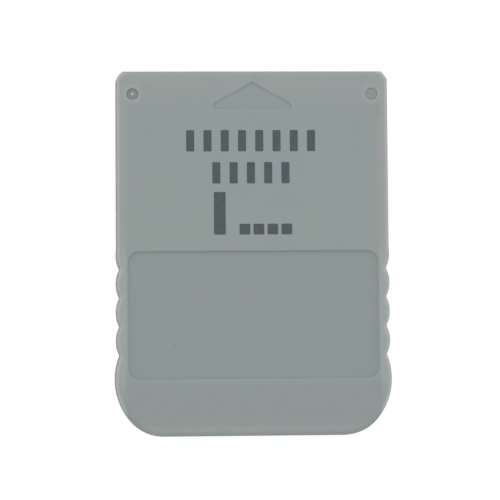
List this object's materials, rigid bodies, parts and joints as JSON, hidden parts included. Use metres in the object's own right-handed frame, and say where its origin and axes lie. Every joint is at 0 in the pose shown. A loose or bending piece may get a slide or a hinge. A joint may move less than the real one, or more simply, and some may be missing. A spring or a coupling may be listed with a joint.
{
  "type": "console memory card",
  "caption": "Flat plug-in memory card for a game console: moulded covers with finger scallops, a label recess, an insertion arrow and gold contacts in open bays.",
  "frame": {"origin": "centre of the card's outline, on the plane of its rear face, which it lies on", "axes": "+Y towards the plug-in end, along the card's length; +X to the right seen from the front; +Z out of the front face"},
  "size_m": [0.042, 0.0554, 0.008],
  "materials": {
    "shell_plastic": "moulded, fine grain, satin",
    "print_ink": "flat screen print",
    "board_laminate": "glass-fibre laminate under green varnish",
    "contact_gold": "gold plated",
    "chip_plastic": "moulded epoxy",
    "lead_metal": "tin plated",
    "resonator_body": "dipped, smooth",
    "tantalum_body": "moulded epoxy",
    "capacitor_ceramic": "fired, matt",
    "resistor_ceramic": "glazed top"
  },
  "bodies": {
    "root": {"front_cover": "shell_plastic", "rear_cover": "shell_plastic", "front_print": "print_ink", "circuit_board": "board_laminate", "contact_1": "contact_gold", "contact_2": "contact_gold", "contact_3": "contact_gold", "contact_4": "contact_gold", "contact_5": "contact_gold", "contact_6": "contact_gold", "contact_7": "contact_gold", "contact_8": "contact_gold", "memory_chip": "chip_plastic", "memory_chip_leads": "lead_metal", "controller_chip": "chip_plastic", "controller_chip_leads": "lead_metal", "voltage_regulator": "chip_plastic", "voltage_regulator_leads": "lead_metal", "resonator": "resonator_body", "resonator_leads": "lead_metal", "tantalum_capacitor": "tantalum_body", "tantalum_terminals": "lead_metal", "capacitor_1": "capacitor_ceramic", "capacitor_2": "capacitor_ceramic", "capacitor_3": "capacitor_ceramic", "capacitor_4": "capacitor_ceramic", "capacitor_end_caps": "lead_metal", "resistor_1": "resistor_ceramic", "resistor_2": "resistor_ceramic", "resistor_3": "resistor_ceramic", "resistor_4": "resistor_ceramic", "resistor_5": "resistor_ceramic", "resistor_end_caps": "lead_metal"}
  },
  "joints": []
}
